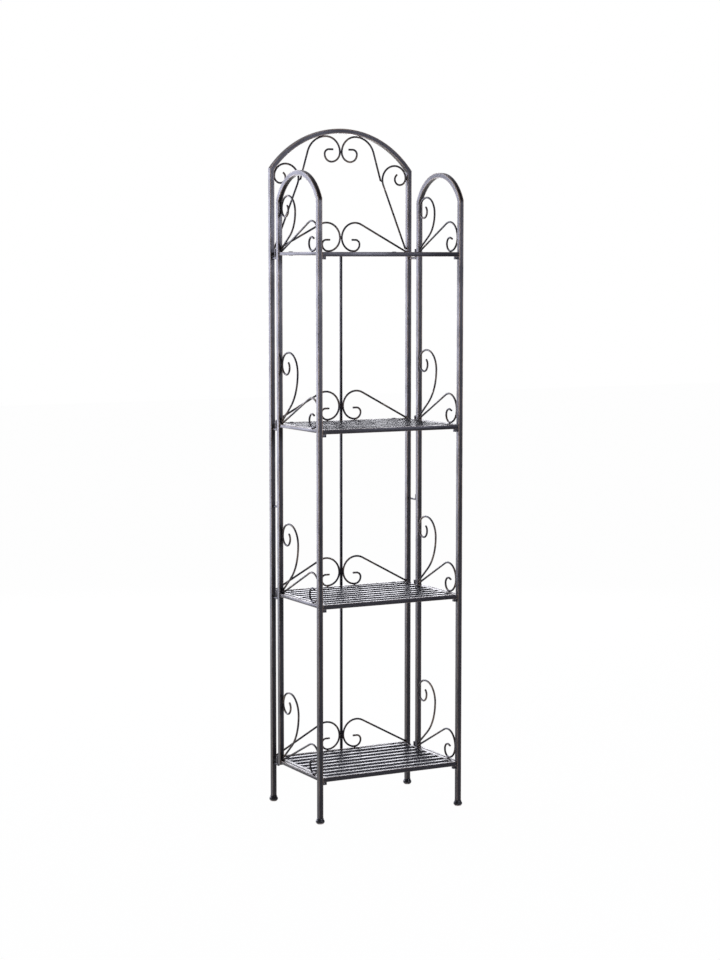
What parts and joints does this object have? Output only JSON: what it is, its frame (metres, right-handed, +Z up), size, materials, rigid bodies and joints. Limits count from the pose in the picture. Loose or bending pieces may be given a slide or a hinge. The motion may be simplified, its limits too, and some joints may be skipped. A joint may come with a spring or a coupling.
{
  "type": "folding shelf etagere",
  "caption": "Tall slim folding metal etagere with slatted shelves, arched back and hinged side frames with scrollwork, for standing small things in a bathroom.",
  "frame": {"origin": "on the floor, under the middle of the object's box", "axes": "+Z up, +X to the right seen from the front, +Y to the back"},
  "size_m": [0.412, 0.284, 1.7],
  "materials": {
    "frame_iron": "charcoal powder coat with bronze brushed along the edges",
    "scroll_iron": "charcoal powder coat with bronze brushed over the curls",
    "foot_cap": "moulded black cap"
  },
  "bodies": {
    "back_frame": {"back_arch": "frame_iron", "back_left_foot": "foot_cap", "back_left_post": "frame_iron", "back_rail_1": "frame_iron", "back_rail_2": "frame_iron", "back_rail_3": "frame_iron", "back_rail_4": "frame_iron", "back_right_foot": "foot_cap", "back_right_post": "frame_iron", "back_scrolls_1": "scroll_iron", "back_scrolls_2": "scroll_iron", "back_scrolls_3": "scroll_iron", "back_scrolls_4": "scroll_iron", "centre_rod_1": "frame_iron", "centre_rod_2": "frame_iron", "centre_rod_3": "frame_iron", "crest_scroll_left": "scroll_iron", "crest_scroll_right": "scroll_iron", "crown_scroll_left": "scroll_iron", "crown_scroll_right": "scroll_iron", "left_hook": "frame_iron", "left_pintles": "frame_iron", "right_hook": "frame_iron", "right_pintles": "frame_iron", "shelf_eyes": "frame_iron"},
    "left_side_frame": {"left_arch": "frame_iron", "left_front_foot": "foot_cap", "left_front_post": "frame_iron", "left_knuckles": "frame_iron", "left_low_scrolls": "scroll_iron", "left_pegs": "frame_iron", "left_rails": "frame_iron", "left_rear_post": "frame_iron", "left_tall_scrolls": "scroll_iron"},
    "right_side_frame": {"right_arch": "frame_iron", "right_front_foot": "foot_cap", "right_front_post": "frame_iron", "right_knuckles": "frame_iron", "right_low_scrolls": "scroll_iron", "right_pegs": "frame_iron", "right_rails": "frame_iron", "right_rear_post": "frame_iron", "right_tall_scrolls": "scroll_iron"},
    "shelf_1": {"shelf_1_front_bar": "frame_iron", "shelf_1_rear_rod": "frame_iron", "shelf_1_side_bars": "frame_iron", "shelf_1_slats": "frame_iron"},
    "shelf_2": {"shelf_2_front_bar": "frame_iron", "shelf_2_rear_rod": "frame_iron", "shelf_2_side_bars": "frame_iron", "shelf_2_slats": "frame_iron"},
    "shelf_3": {"shelf_3_front_bar": "frame_iron", "shelf_3_rear_rod": "frame_iron", "shelf_3_side_bars": "frame_iron", "shelf_3_slats": "frame_iron"},
    "shelf_4": {"shelf_4_front_bar": "frame_iron", "shelf_4_rear_rod": "frame_iron", "shelf_4_side_bars": "frame_iron", "shelf_4_slats": "frame_iron"}
  },
  "joints": [
    {"name": "left_frame_hinge", "type": "hinge", "parent": "back_frame", "child": "left_side_frame", "pos_m": [-0.195, 0.101, 0.114], "axis": [0, 0, -1], "range_deg": [0, 90]},
    {"name": "right_frame_hinge", "type": "hinge", "parent": "back_frame", "child": "right_side_frame", "pos_m": [0.195, 0.088, 0.114], "axis": [0, 0, 1], "range_deg": [0, 90]},
    {"name": "shelf_1_lift", "type": "hinge", "parent": "back_frame", "child": "shelf_1", "pos_m": [0, 0.1205, 0.1105], "axis": [-1, 0, 0], "range_deg": [0, 90]},
    {"name": "shelf_2_lift", "type": "hinge", "parent": "back_frame", "child": "shelf_2", "pos_m": [0, 0.1205, 0.5362], "axis": [-1, 0, 0], "range_deg": [0, 90]},
    {"name": "shelf_3_lift", "type": "hinge", "parent": "back_frame", "child": "shelf_3", "pos_m": [0, 0.1205, 0.9619], "axis": [-1, 0, 0], "range_deg": [0, 90]},
    {"name": "shelf_4_lift", "type": "hinge", "parent": "back_frame", "child": "shelf_4", "pos_m": [0, 0.1205, 1.3876], "axis": [-1, 0, 0], "range_deg": [0, 90]}
  ]
}
